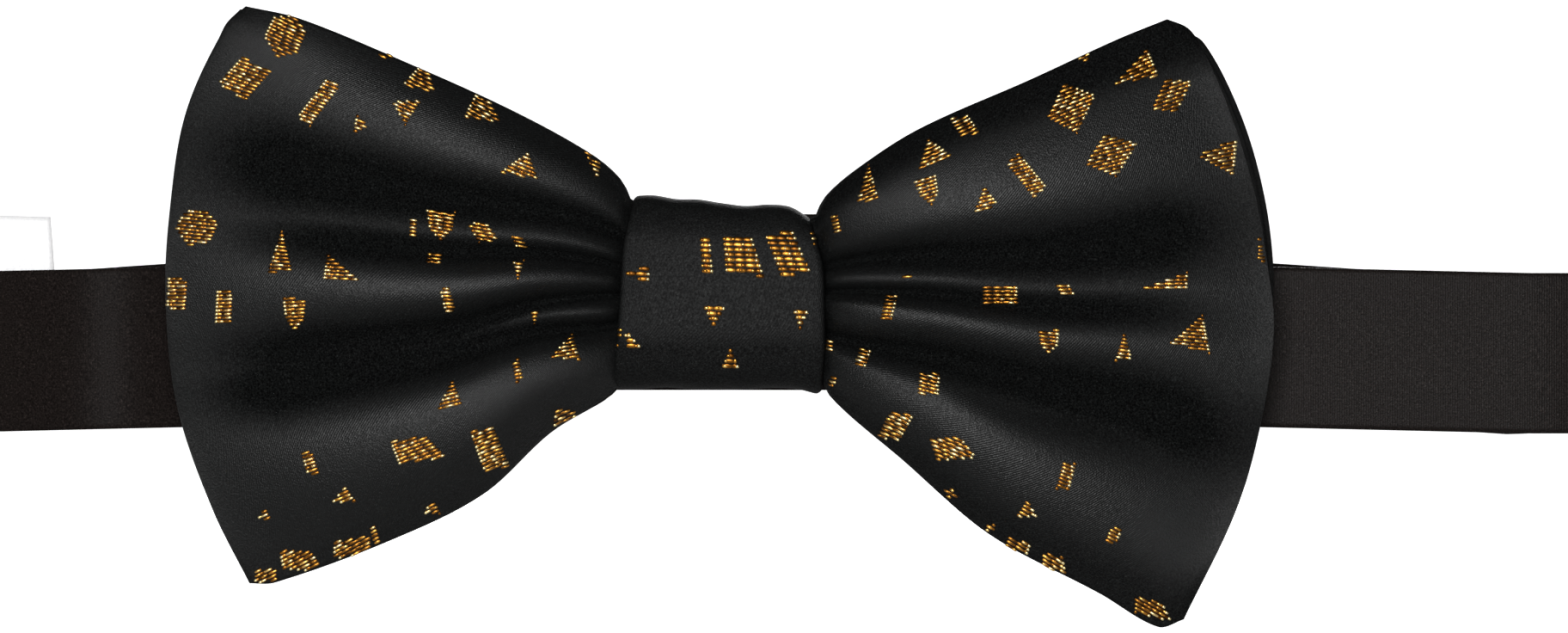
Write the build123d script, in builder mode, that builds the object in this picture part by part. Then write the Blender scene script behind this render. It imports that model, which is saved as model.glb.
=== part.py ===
"""A ready-tied bow tie on an adjustable satin neckband, in millimetres.

The bow stands upright as it is worn: +Z is up, the bow faces -Y and the neck is on the
+Y side. The origin is the centre of the knot's flat back face, which rests on the collar.
The neckband is a closed loop, flattened front to back, and fastens behind with a hook in
a ring. Its right half runs through a slide that sets the collar size.
"""
import os

from build123d import *

os.makedirs("parts", exist_ok=True)

# ---- Neckband ----
band_height = 17.5
band_thickness = 1.6
band_core = 0.7  # interlining inside the satin cover
band_edge = 1.0  # cover beyond the interlining, along both edges
band_end = 2.0  # cover beyond the interlining, at each end
band_low = -6.4  # height of the band's middle line at its side bends
band_wing = -5.4  # and where it comes out from behind the wings' necks
band_wing_x = 45.0
front_level = 1.0  # level stretch of the front run past each side of the knot
rear_middle = -1.9  # height of the rear run's middle line behind the knot
rear_level = 13.0  # half length of its level stretch
rear_side = -6.9  # and where the rear run meets the side bends
run_half = 88.0  # straight half length of the front and rear runs
bend_radius = 20.0  # middle line of the two side bends
band_gap = 0.6  # edge clearance of the band inside metal parts

# ---- Knot and waist, from the back face forwards ----
knot_width = 22.3
knot_height = 20.9
knot_wall = 1.0
knot_corner = 3.0
knot_inner_corner = 1.0
band_play = 0.5  # between the band and the thread that ties the waist
binding_thickness = 0.4
binding_width = 8.0
rear_waist = 2.5
front_waist = 5.0
padding_thickness = 0.6
padding_width = 18.0
waist_height = 16.0
band_waist_height = 16.4

# ---- Bow fabric: jacquard outside, interlining between its two plies ----
skin = 0.5
core = 0.6
wing_gap = 0.25  # between the wrap's open ends and the wings
front_puff = 18.0  # how far the fullest part of the front wings stands out
front_tip_depth = 5.2  # thickness of the front wings at their outer edge
layer_gap = 0.3  # between the front bow, the rear bow and the band
hollow_start = 16.0  # where the two plies of a front wing part
corner_pocket = 2.5  # of the hollow that stays closed near each wing corner

# ---- Hook, ring, slide ----
wire_radius = 0.8
fold_play = 0.2  # between a bar and the band folded round it
ring_bar_x = -50.0
ring_length = 12.0
ring_corner = 1.6
hook_bar_x = -16.0
hook_reach = 27.2  # from the hook's bar to the end of its tongue
hook_plate = 1.0
hook_tongue = 8.0
hook_tab = 6.0
hook_lip = 2.8
hook_lip_thickness = 0.8
rail_thickness = 1.2
plate_start = 3.2  # from the hook's bar to the near edge of its plate
plate_width = 3.0
plate_taper = 5.0
lip_gap = 0.5  # between the hook's lip and the ring's bar
slide_x = 38.0
slide_half = 7.0
slide_bar = 0.6
slide_play = 0.2
slide_fold_play = 0.1
fold_tail = 9.0  # band end sewn back round the slide's middle bar
slide_tail_step = 1.0  # how much shorter its cut end is
return_start = 4.0  # straight band behind the hook's bar
sewn_tail = 9.0  # band end sewn down behind the ring
sewn_gap = 0.1
sewn_step = 3.0  # each half of the bend that takes the sewn end up to the band
return_level = 14.0  # band between hook and slide, before it dips towards the slide
return_shift = 6.0  # length of that dip

# ---- Care label ----
label_width = 13.6
label_right = -72.4
label_top = 8.8
label_thickness = 0.4
label_hinge_z = -12.6
hem_height = 1.5
label_gap = 0.1

# ---- Stitches ----
stitch_thickness = 0.3
stitch_width = 0.6
seam_stitches = 5
label_stitch_count = 6
tack_rows = 2
tack_stitches = 5
tack_stitch_length = 2.4
label_stitch_length = 1.6
seam_stitch_length = 3.0

hinge_gap = 0.1
reach = 200.0  # longer than anything that is cut to shape

# ---- Places worked out from the sizes above ----
wall = 2 * skin + core
band_y = -knot_wall - band_thickness / 2
rear_y = band_y + 2 * bend_radius
apex_x = run_half + bend_radius
apex_y = band_y + bend_radius
binding_back = -knot_wall - band_thickness - band_play
rear_back = binding_back - binding_thickness
rear_front = rear_back - rear_waist
waist_front = rear_front - front_waist
binding_front = waist_front - binding_thickness
padding_front = binding_front - padding_thickness
knot_front = padding_front - knot_wall
knot_depth = -knot_front
wing_start = knot_width / 2 + wing_gap
wing_back = rear_front - layer_gap
rear_wing_back = band_y - band_thickness / 2 - layer_gap - label_gap
fold_radius = wire_radius + fold_play + band_thickness / 2
clasp_y = rear_y - fold_radius
return_y = clasp_y - fold_radius
rail_inner = band_height / 2 + band_gap
rear_slope = (rear_side - rear_middle) / (run_half - rear_level)
ring_z = rear_middle + rear_slope * (-ring_bar_x - rear_level)
hook_z = rear_middle
slide_z = rear_middle + rear_slope * (slide_x - rear_level)
ring_rail = rail_inner + wire_radius
rail_outer = rail_inner + rail_thickness
slide_bar_outer_y = rear_y + band_thickness / 2 + slide_play + slide_bar
slide_fold_radius = slide_bar + slide_fold_play + band_thickness / 2
slide_bar_inner_y = (
    rear_y - band_thickness - slide_play - slide_fold_radius
)
slide_return_y = slide_bar_inner_y - slide_fold_radius
slide_tail_x = slide_x - fold_tail + rear_slope * band_height / 2 - hinge_gap


def save(piece, name):
    """Labels a finished piece and writes it to its own file."""
    piece.part.label = name
    export_step(piece.part, f"parts/{name}.step")


# ======================= The bow =======================

# Wing outlines as shares of (length beyond the knot, height above or depth below its
# centre). "top" and "bottom" run outwards from the knot and back to it, and "edge" is
# the arc of the outer fold.
front_left = {
    "side": -1, "length": 49.15, "rise": 31.3, "drop": 31.7,
    "top": [(0.01, 0.4), (0.06, 0.48), (0.23, 0.63), (0.46, 0.79), (0.7, 0.95), (0.82, 0.99)],
    "edge": [(0.84, 0.96), (1.0, -0.02), (0.82, -0.99)],
    "bottom": [(0.77, -1.0), (0.51, -0.845), (0.3, -0.685), (0.15, -0.464), (0.01, -0.34)],
}
front_right = {
    "side": 1, "length": 48.65, "rise": 29.8, "drop": 36.3,
    "top": [(0.01, 0.38), (0.08, 0.46), (0.21, 0.6), (0.46, 0.78), (0.65, 0.926), (0.76, 0.99)],
    "edge": [(0.81, 0.95), (1.0, -0.12), (0.815, -0.945)],
    "bottom": [(0.75, -1.0), (0.61, -0.893), (0.363, -0.713), (0.17, -0.493), (0.01, -0.3)],
}
rear_left = {
    "side": -1, "length": 48.6, "rise": 31.3, "drop": 29.5,
    "top": [(0.01, 0.36), (0.06, 0.44), (0.23, 0.59), (0.46, 0.76), (0.7, 0.93), (0.85, 1.0)],
    "edge": [(0.875, 0.96), (1.0, -0.02), (0.83, -0.99)],
    "bottom": [(0.78, -1.0), (0.51, -0.85), (0.3, -0.68), (0.15, -0.46), (0.01, -0.34)],
}
rear_right = {
    "side": 1, "length": 48.4, "rise": 29.4, "drop": 33.0,
    "top": [(0.01, 0.34), (0.08, 0.42), (0.21, 0.56), (0.46, 0.75), (0.65, 0.91), (0.8, 0.99)],
    "edge": [(0.85, 0.94), (1.0, -0.05), (0.82, -0.94)],
    "bottom": [(0.76, -1.0), (0.61, -0.88), (0.363, -0.7), (0.17, -0.48), (0.01, -0.3)],
}


def wing_points(wing, row, inset=0):
    """The points of one edge of a wing, in X and Z, moved in by the inset."""
    return [
        (
            wing["side"] * (wing_start + u * (wing["length"] - inset)),
            v * wing["rise"] - inset if v > 0 else v * wing["drop"] + inset,
        )
        for u, v in wing[row]
    ]


def outline(wings, inset=0):
    """The bow's front view: a narrow waist and two wings."""
    waist = waist_height / 2 - inset
    with BuildSketch() as view:
        for wing in wings:
            rows = ("top", "edge", "bottom")
            top, edge, bottom = (wing_points(wing, row, inset) for row in rows)
            root = wing["side"] * wing_start
            with BuildLine():
                Polyline((0, waist), (root, waist), top[0])
                Spline(*top)
                Line(top[-1], edge[0])
                ThreePointArc(*edge)
                Line(edge[-1], bottom[0])
                Spline(*bottom)
                Polyline(bottom[-1], (root, -waist), (0, -waist), (0, waist))
            make_face()
    return view.sketch_local


def wing_end(wings):
    """A distance just beyond the longer wing."""
    return wing_start + max(wing["length"] for wing in wings) + skin


def front_plan(inset=0):
    """The front bow from above: thin at the waist, full in the wings."""
    end = wing_end((front_left, front_right))
    middle = (wing_start + end) / 2
    tip = wing_back - front_tip_depth
    waist = (wing_start, waist_front + inset)
    with BuildSketch() as plan:
        with BuildLine():
            Polyline(
                (0, waist_front + inset),
                (0, rear_front - inset),
                (wing_start, rear_front - inset),
                (hollow_start, wing_back - inset),
                (end, wing_back - inset),
                (end, tip + inset),
            )
            ThreePointArc((end, tip + inset), (middle, inset - front_puff), waist)
            Line(waist, (0, waist_front + inset))
        make_face()
        mirror(about=Plane.YZ)
    return plan.sketch_local


def rear_plan(inset=0):
    """The rear bow from above: flat, just clear of the band."""
    end = wing_end((rear_left, rear_right))
    with BuildSketch() as plan:
        with BuildLine():
            Polyline(
                (0, rear_front + inset),
                (0, rear_back - inset),
                (wing_start, rear_back - inset),
                (hollow_start, rear_wing_back - inset),
                (end, rear_wing_back - inset),
                (end, rear_front + inset),
                close=True,
            )
        make_face()
        mirror(about=Plane.YZ)
    return plan.sketch_local


def bow_block(wings, plan, inset=0):
    """A solid bow: its front view cut out of its plan."""
    return crossing(outline(wings, inset), plan(inset))


def crossing(front_view, top_view):
    """The solid that has this front view and this plan."""
    with BuildPart() as solid:
        with BuildSketch(Plane.XZ.offset(-reach)):
            add(front_view)
        extrude(amount=2 * reach)
        with BuildSketch(Plane.XY.offset(-reach)):
            add(top_view)
        extrude(amount=2 * reach, mode=Mode.INTERSECT)
    return solid.part


def wing_hollow(depth):
    """The air between the plies of the front wings, open along their long edges."""
    front_view = outline((front_left, front_right), depth)
    top_view = front_plan(depth)
    start = hollow_start + wall - depth
    with BuildSketch() as view:
        add(front_view)
        for wing in (front_left, front_right):
            edge = wing_points(wing, "edge", depth)
            end = min(abs(edge[0][0]), abs(edge[-1][0])) - corner_pocket
            with Locations((wing["side"] * (start + end) / 2, 0)):
                Rectangle(end - start, reach)
        Rectangle(2 * start, reach, mode=Mode.SUBTRACT)
    return crossing(view.sketch_local, top_view)


front_block = bow_block((front_left, front_right), front_plan)
front_core = bow_block((front_left, front_right), front_plan, skin)
inner_hollow = wing_hollow(wall)
outer_hollow = wing_hollow(wall - skin)

with BuildPart() as front_interlining:
    add(front_core)
    add(outer_hollow, mode=Mode.SUBTRACT)
save(front_interlining, "front_interlining")

with BuildPart() as front_bow:
    add(front_block)
    add(inner_hollow, mode=Mode.SUBTRACT)
    add(front_interlining.part, mode=Mode.SUBTRACT)
save(front_bow, "front_bow")

rear_block = bow_block((rear_left, rear_right), rear_plan)
rear_core = bow_block((rear_left, rear_right), rear_plan, skin)

with BuildPart() as rear_interlining:
    add(rear_core)
save(rear_interlining, "rear_interlining")

with BuildPart() as rear_bow:
    add(rear_block)
    add(rear_core, mode=Mode.SUBTRACT)
save(rear_bow, "rear_bow")

# ======================= The knot =======================

knot_centre_y = -knot_depth / 2
seam_pitch = (knot_height - 2 * knot_corner) / seam_stitches

with BuildPart() as knot_seam_stitches:
    with BuildSketch(Plane.XZ):
        with GridLocations(0, seam_pitch, 1, seam_stitches):
            SlotOverall(seam_stitch_length, stitch_width)
    extrude(amount=stitch_thickness)
save(knot_seam_stitches, "knot_seam_stitches")

with BuildPart() as knot_wrap:
    with BuildSketch(Plane.YZ):
        with Locations((knot_centre_y, 0)):
            RectangleRounded(knot_depth, knot_height, knot_corner)
            RectangleRounded(
                knot_depth - 2 * knot_wall,
                knot_height - 2 * knot_wall,
                knot_inner_corner,
                mode=Mode.SUBTRACT,
            )
    extrude(amount=knot_width / 2, both=True)
    add(knot_seam_stitches.part, mode=Mode.SUBTRACT)
save(knot_wrap, "knot_wrap")

with BuildPart() as knot_padding:
    with BuildSketch(Plane.XZ.offset(-binding_front)):
        RectangleRounded(padding_width, waist_height, knot_corner)
    extrude(amount=padding_thickness)
save(knot_padding, "knot_padding")

with BuildPart() as waist_binding:
    with BuildSketch(Plane.YZ):
        with Locations(((binding_back + binding_front) / 2, 0)):
            Rectangle(binding_back - binding_front, waist_height + 2 * binding_thickness)
        with Locations(((rear_back + waist_front) / 2, 0)):
            Rectangle(rear_back - waist_front, waist_height, mode=Mode.SUBTRACT)
    extrude(amount=binding_width / 2, both=True)
save(waist_binding, "waist_binding")

# ======================= The front of the neckband =======================

def strip(middle_line, half_heights):
    """The front view of a band along a middle line, mirrored to both sides."""
    upper = [(x, z + half) for (x, z), half in zip(middle_line, half_heights)]
    lower = [(x, z - half) for (x, z), half in zip(middle_line, half_heights)]
    with BuildSketch() as view:
        with BuildLine():
            Polyline(*upper, *reversed(lower), close=True)
        make_face()
        mirror(about=Plane.YZ)
    return view.sketch_local


def front_view_of_band(edge=0):
    """The front run: lower at the sides, raised through the knot."""
    half, waist_half = band_height / 2 - edge, band_waist_height / 2 - edge
    line = [
        (0, 0),
        (knot_width / 2 + front_level, 0),
        (band_wing_x, band_wing),
        (run_half, band_low),
        (reach, band_low),
    ]
    return strip(line, [waist_half, waist_half, half, half, half])


def rear_view_of_band(edge=0):
    """The rear run: it climbs from the side bends to pass behind the knot."""
    half = band_height / 2 - edge
    line = [
        (0, rear_middle),
        (rear_level, rear_middle),
        (run_half, rear_side),
        (run_half + bend_radius / 2, band_low),
        (reach, band_low),
    ]
    return strip(line, [half] * len(line))


def front_band_solid(thickness, edge, end):
    """The front run with both quarter bends, up to the two flex lines."""
    with BuildSketch() as plan:
        with BuildLine():
            CenterArc((-run_half, apex_y), bend_radius, 180, 90)
            Line((-run_half, band_y), (run_half, band_y))
            CenterArc((run_half, apex_y), bend_radius, 270, 90)
        trace(line_width=thickness)
        with Locations((0, apex_y - band_thickness / 2 - hinge_gap - end)):
            Rectangle(2 * reach, reach, align=(Align.CENTER, Align.MIN), mode=Mode.SUBTRACT)
    return crossing(front_view_of_band(edge), plan.sketch_local)


band_front_core = front_band_solid(band_core, band_edge, band_end)
band_front_outer = front_band_solid(band_thickness, 0, 0)

with BuildPart() as front_band_interlining:
    add(band_front_core)
save(front_band_interlining, "front_band_interlining")

with BuildPart() as front_band:
    add(band_front_outer)
    add(band_front_core, mode=Mode.SUBTRACT)
save(front_band, "front_band")

# ======================= The rear halves =======================

sewn_y = rear_y - band_thickness - sewn_gap
sewn_drop = sewn_y - return_y
sewn_straight = ring_bar_x - sewn_step
sewn_middle = sewn_straight - sewn_step
sewn_start = sewn_middle - sewn_step


def left_route():
    """The left half from its flex line to the ring, round the bar and back."""
    with BuildLine() as route:
        CenterArc((-run_half, apex_y), bend_radius, 90, 90)
        Line((-run_half, rear_y), (ring_bar_x, rear_y))
        CenterArc((ring_bar_x, clasp_y), fold_radius, -90, 180)
        Line((ring_bar_x, return_y), (sewn_straight, return_y))
        lift = TangentArc(
            (sewn_straight, return_y), (sewn_middle, return_y + sewn_drop / 2), tangent=(-1, 0)
        )
        TangentArc((sewn_middle, return_y + sewn_drop / 2), (sewn_start, sewn_y), tangent=lift % 1)
        Line((sewn_start, sewn_y), (sewn_start - sewn_tail, sewn_y))
    return route.line


def right_route():
    """The right half from its flex line to the hook and round its bar."""
    with BuildLine() as route:
        CenterArc((run_half, apex_y), bend_radius, 0, 90)
        Line((run_half, rear_y), (hook_bar_x, rear_y))
        CenterArc((hook_bar_x, clasp_y), fold_radius, 90, 180)
        Line((hook_bar_x, return_y), (hook_bar_x + return_start, return_y))
    return route.line


def half_band(route, side, thickness, edge, end):
    """A band that follows a route, rounded where it flexes."""
    with BuildSketch() as plan:
        trace(route, line_width=thickness)
        with Locations((side * apex_x, apex_y)):
            if end:
                Rectangle(2 * bend_radius, 2 * end, mode=Mode.SUBTRACT)
            else:
                Circle(thickness / 2)
    return crossing(rear_view_of_band(edge), plan.sketch_local)


left_line, right_line = left_route(), right_route()
left_core = half_band(left_line, -1, band_core, band_edge, band_end)
right_core = half_band(right_line, 1, band_core, band_edge, band_end)
left_outer = half_band(left_line, -1, band_thickness, 0, 0)
right_outer = half_band(right_line, 1, band_thickness, 0, 0)

with BuildPart() as left_band_interlining:
    add(left_core)
    with Locations((sewn_start - sewn_tail, sewn_y, ring_z)):
        Box(2 * band_end, band_thickness, 2 * band_height, mode=Mode.SUBTRACT)
save(left_band_interlining, "left_band_interlining")

with BuildPart() as left_band:
    add(left_outer)
    add(left_band_interlining.part, mode=Mode.SUBTRACT)
save(left_band, "left_band")

with BuildPart() as right_band_interlining:
    add(right_core)
    with Locations((hook_bar_x + return_start, return_y, hook_z)):
        Box(band_end, band_thickness, 2 * band_height, mode=Mode.SUBTRACT)
save(right_band_interlining, "right_band_interlining")

with BuildPart() as right_band:
    add(right_outer)
    add(right_band_interlining.part, mode=Mode.SUBTRACT)
save(right_band, "right_band")

# The free length of band between the hook and the slide, which the slide's travel
# lengthens and shortens.
return_begin = hook_bar_x + return_start
with BuildSketch() as return_plan:
    with BuildLine():
        dip_start = return_begin + return_level
        dip_middle = (dip_start + return_shift / 2, (return_y + slide_return_y) / 2)
        dip_end = (dip_start + return_shift, slide_return_y)
        Line((return_begin, return_y), (dip_start, return_y))
        dip = TangentArc((dip_start, return_y), dip_middle, tangent=(1, 0))
        TangentArc(dip_middle, dip_end, tangent=dip % 1)
        Line(dip_end, (slide_tail_x, slide_return_y))
    trace(line_width=band_thickness)
return_solid = crossing(rear_view_of_band(), return_plan.sketch_local)

with BuildPart() as strap_return:
    add(return_solid)
save(strap_return, "strap_return")

# ======================= Ring, hook and slide =======================

with BuildPart() as eye_ring:
    with BuildLine(Plane.XZ.offset(-clasp_y)) as ring_path:
        left, right = ring_bar_x, ring_bar_x + ring_length
        low, high = ring_z - ring_rail, ring_z + ring_rail
        inner_left, inner_right = left + ring_corner, right - ring_corner
        inner_low, inner_high = low + ring_corner, high - ring_corner
        Line((left, inner_low), (left, inner_high))
        CenterArc((inner_left, inner_high), ring_corner, 180, -90)
        Line((inner_left, high), (inner_right, high))
        CenterArc((inner_right, inner_high), ring_corner, 90, -90)
        Line((right, inner_high), (right, inner_low))
        CenterArc((inner_right, inner_low), ring_corner, 0, -90)
        Line((inner_right, low), (inner_left, low))
        CenterArc((inner_left, inner_low), ring_corner, 270, -90)
    with BuildSketch(Plane((ring_bar_x, clasp_y, inner_low), z_dir=(0, 0, 1))):
        Circle(wire_radius)
    sweep(path=ring_path.line)
save(eye_ring, "eye_ring")

hook_end = hook_bar_x - hook_reach
hook_plate_y = clasp_y + wire_radius + fold_play
hook_lip_y = clasp_y - wire_radius - lip_gap
hook_plate_x = hook_bar_x - plate_start

with BuildPart() as hook:
    # The plate and its tongue
    with BuildSketch(Plane.XZ.offset(-hook_plate_y)):
        with BuildLine():
            Polyline(
                (hook_plate_x, hook_z + rail_outer),
                (hook_plate_x - plate_width, hook_z + rail_outer),
                (hook_plate_x - plate_width - plate_taper, hook_z + hook_tongue / 2),
                (hook_end, hook_z + hook_tongue / 2),
                (hook_end, hook_z - hook_tongue / 2),
                (hook_plate_x - plate_width - plate_taper, hook_z - hook_tongue / 2),
                (hook_plate_x - plate_width, hook_z - rail_outer),
                (hook_plate_x, hook_z - rail_outer),
                close=True,
            )
        make_face()
    extrude(amount=-hook_plate)
    # The tab that drops through the ring, and its lip
    with BuildSketch(Plane.XY.offset(hook_z)):
        with BuildLine():
            Polyline(
                (hook_end, hook_plate_y),
                (hook_end, hook_lip_y - hook_lip_thickness),
                (hook_end + hook_lip, hook_lip_y - hook_lip_thickness),
                (hook_end + hook_lip, hook_lip_y),
                (hook_end + hook_plate, hook_lip_y),
                (hook_end + hook_plate, hook_plate_y),
                close=True,
            )
        make_face()
    extrude(amount=hook_tab / 2, both=True)
    # The two side rails and the bar between them
    for level in (hook_z - rail_outer, hook_z + rail_inner):
        with BuildSketch(Plane.XY.offset(level)):
            with Locations((hook_bar_x, clasp_y)):
                Circle(wire_radius + fold_play)
            with BuildLine():
                Polyline(
                    (hook_bar_x, clasp_y - wire_radius - fold_play),
                    (hook_bar_x, hook_plate_y + hook_plate),
                    (hook_plate_x - plate_width, hook_plate_y + hook_plate),
                    (hook_plate_x - plate_width, hook_plate_y),
                    (hook_plate_x, hook_plate_y),
                    close=True,
                )
            make_face()
        extrude(amount=rail_thickness)
    with Locations((hook_bar_x, clasp_y, hook_z)):
        Cylinder(wire_radius, 2 * rail_outer)
save(hook, "hook")

# The slide lies along the sloping band: its own X runs down the slope from its middle bar.
slide_plane = Plane(
    (slide_x, 0, slide_z), x_dir=(1, 0, rear_slope), z_dir=(-rear_slope, 0, 1)
)

with BuildPart() as slide_adjuster:
    for level in (-rail_outer, rail_inner):
        with BuildSketch(slide_plane.offset(level)):
            with BuildLine():
                ThreePointArc(
                    (-slide_half, slide_bar_outer_y),
                    (0, slide_bar_inner_y),
                    (slide_half, slide_bar_outer_y),
                )
            trace(line_width=2 * slide_bar)
            with Locations((-slide_half, slide_bar_outer_y), (slide_half, slide_bar_outer_y)):
                Circle(slide_bar)
        extrude(amount=rail_thickness)
    with BuildSketch(slide_plane):
        with Locations(
            (-slide_half, slide_bar_outer_y),
            (0, slide_bar_inner_y),
            (slide_half, slide_bar_outer_y),
        ):
            Circle(slide_bar)
    extrude(amount=rail_outer, both=True)
save(slide_adjuster, "slide_adjuster")

with BuildPart() as slide_fold:
    with BuildSketch(slide_plane):
        with BuildLine():
            Line((-fold_tail, slide_return_y), (0, slide_return_y))
            CenterArc((0, slide_bar_inner_y), slide_fold_radius, -90, 180)
            Line(
                (0, slide_bar_inner_y + slide_fold_radius),
                (slide_tail_step - fold_tail, slide_bar_inner_y + slide_fold_radius),
            )
        trace(line_width=band_thickness)
    extrude(amount=band_height / 2, both=True)
save(slide_fold, "slide_fold")

# ======================= Care label =======================

label_x = label_right - label_width / 2
hem_z = label_hinge_z - label_thickness / 2 - hinge_gap - hem_height / 2
label_y = band_y + band_thickness / 2 + label_gap + label_thickness / 2

with BuildPart() as care_label:
    with BuildSketch(Plane.YZ.offset(label_right - label_width)):
        with Locations((label_y, (label_top + label_hinge_z) / 2)):
            Rectangle(label_thickness, label_top - label_hinge_z)
        with Locations((label_y, label_hinge_z)):
            Circle(label_thickness / 2)
    extrude(amount=label_width)
save(care_label, "care_label")

with BuildPart() as label_hem:
    with Locations((label_x, label_y, hem_z)):
        Box(label_width, label_thickness, hem_height)
save(label_hem, "label_hem")

# ======================= Stitches =======================

with BuildPart() as label_stitches:
    with BuildSketch(Plane.XZ.offset(-label_y - label_thickness / 2)):
        with Locations((label_x, hem_z)):
            with GridLocations(label_width / label_stitch_count, 0, label_stitch_count, 1):
                SlotOverall(label_stitch_length, stitch_width)
    extrude(amount=-stitch_thickness)
save(label_stitches, "label_stitches")

tack_pitch = (band_height - 2 * band_edge) / tack_stitches
tack_z = rear_middle + rear_slope * (sewn_tail / 2 - sewn_start - rear_level)
with BuildPart() as ring_tack:
    with BuildSketch(Plane.XZ.offset(-sewn_y + band_thickness / 2)):
        with Locations((sewn_start - sewn_tail / 2, tack_z)):
            with GridLocations(sewn_tail / 2, tack_pitch, tack_rows, tack_stitches):
                SlotOverall(tack_stitch_length, stitch_width, rotation=90)
    extrude(amount=stitch_thickness)
save(ring_tack, "ring_tack")

tack_plane = Plane(
    slide_plane.from_local_coords((-fold_tail / 2 - 1, slide_return_y - band_thickness / 2, 0)),
    x_dir=slide_plane.x_dir,
    z_dir=(0, -1, 0),
)
with BuildPart() as slide_tack:
    with BuildSketch(tack_plane):
        with GridLocations(fold_tail / 3, tack_pitch, tack_rows, tack_stitches):
            SlotOverall(tack_stitch_length, stitch_width, rotation=90)
    extrude(amount=stitch_thickness)
save(slide_tack, "slide_tack")
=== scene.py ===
# %% [markdown]
# # A ready-tied satin bow tie
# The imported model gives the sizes, the metal clasp and the stitches. This lesson dresses it:
# two layers of folded jacquard, a wrapped knot, an adjustable satin band and a small label.
# Everything is in metres, with Z up, the bow facing -Y and the neck on the +Y side.

# %% Load the model that everything is fitted to
import math
import random

import bmesh
import bpy
from mathutils import Matrix, Vector
from mathutils.bvhtree import BVHTree


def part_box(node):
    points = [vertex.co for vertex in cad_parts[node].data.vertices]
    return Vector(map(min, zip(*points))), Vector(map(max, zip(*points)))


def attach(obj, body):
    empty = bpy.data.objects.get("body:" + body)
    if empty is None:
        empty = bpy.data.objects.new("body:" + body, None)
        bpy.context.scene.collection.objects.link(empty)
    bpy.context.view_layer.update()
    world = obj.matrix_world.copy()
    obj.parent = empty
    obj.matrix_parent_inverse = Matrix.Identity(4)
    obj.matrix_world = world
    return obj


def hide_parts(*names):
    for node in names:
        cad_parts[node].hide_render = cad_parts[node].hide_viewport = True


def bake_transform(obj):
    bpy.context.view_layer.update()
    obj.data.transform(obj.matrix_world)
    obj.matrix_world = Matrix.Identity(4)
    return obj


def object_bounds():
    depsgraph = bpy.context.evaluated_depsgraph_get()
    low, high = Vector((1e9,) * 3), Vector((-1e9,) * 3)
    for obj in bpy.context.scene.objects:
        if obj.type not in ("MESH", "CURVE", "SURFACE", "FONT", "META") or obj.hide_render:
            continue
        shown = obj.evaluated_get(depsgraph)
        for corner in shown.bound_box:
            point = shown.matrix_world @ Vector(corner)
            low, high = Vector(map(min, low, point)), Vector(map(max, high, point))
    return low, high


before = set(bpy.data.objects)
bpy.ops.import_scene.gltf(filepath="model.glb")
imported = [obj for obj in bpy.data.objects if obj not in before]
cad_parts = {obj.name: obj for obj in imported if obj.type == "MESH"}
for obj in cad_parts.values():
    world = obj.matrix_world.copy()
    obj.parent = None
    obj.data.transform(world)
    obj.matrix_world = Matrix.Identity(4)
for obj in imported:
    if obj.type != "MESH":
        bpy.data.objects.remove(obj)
cad_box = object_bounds()
MM = 0.001

# %% [markdown]
# ## Two small helpers
# Cloth is made as a sheet of quads from a formula, so one helper turns points and faces into a
# finished piece that already lies in its place. A second one takes a smooth value from a few
# given numbers, which is how a fold drifts from the knot to the tip.

# %% Helpers for meshes and for smooth values


def deselect():
    bpy.ops.object.select_all(action="DESELECT")


def new_piece(name, points, faces, material, body=None):
    """A mesh piece from points in millimetres, smooth shaded, with its faces outwards."""
    mesh = bpy.data.meshes.new(name)
    mesh.from_pydata([[value * MM for value in point] for point in points], [], faces)
    mesh.validate()
    piece = bpy.data.objects.new(name, mesh)
    bpy.context.scene.collection.objects.link(piece)
    mesh.materials.append(material)
    mesh.shade_smooth()
    if body:
        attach(piece, body)
    return piece


def apply_modifiers(piece):
    deselect()
    piece.select_set(True)
    bpy.context.view_layer.objects.active = piece
    for modifier in list(piece.modifiers):
        bpy.ops.object.modifier_apply(modifier=modifier.name)


def smooth_step(low, high, value):
    share = min(max((value - low) / (high - low), 0), 1)
    return share * share * (3 - 2 * share)


def between(values, share):
    """A smooth value at a share 0..1 along evenly spaced values."""
    place = min(max(share, 0), 1) * (len(values) - 1)
    index = min(int(place), len(values) - 2)
    before = values[max(index - 1, 0)]
    first, second = values[index], values[index + 1]
    after = values[min(index + 2, len(values) - 1)]
    t = place - index
    return 0.5 * (
        2 * first + (second - before) * t
        + (2 * before - 5 * first + 4 * second - after) * t ** 2
        + (3 * first - before - 3 * second + after) * t ** 3
    )


class Curve:
    """A smooth curve through given points, read by its share of length."""

    def __init__(self, points):
        self.points = [Vector(point) for point in points]
        self.marks = [0.0]
        for one, two in zip(self.points, self.points[1:]):
            self.marks.append(self.marks[-1] + (two - one).length)

    def at(self, share):
        distance = min(max(share, 0), 1) * self.marks[-1]
        index = 0
        while index < len(self.points) - 2 and self.marks[index + 1] < distance:
            index += 1
        first, second = self.points[index], self.points[index + 1]
        span = self.marks[index + 1] - self.marks[index]
        t = (distance - self.marks[index]) / span

        def slope(i):
            low, high = max(i - 1, 0), min(i + 1, len(self.points) - 1)
            return (self.points[high] - self.points[low]) / (self.marks[high] - self.marks[low])

        return (
            first * (2 * t ** 3 - 3 * t ** 2 + 1) + second * (3 * t ** 2 - 2 * t ** 3)
            + slope(index) * span * (t ** 3 - 2 * t ** 2 + t)
            + slope(index + 1) * span * (t ** 3 - t ** 2)
        )
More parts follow.
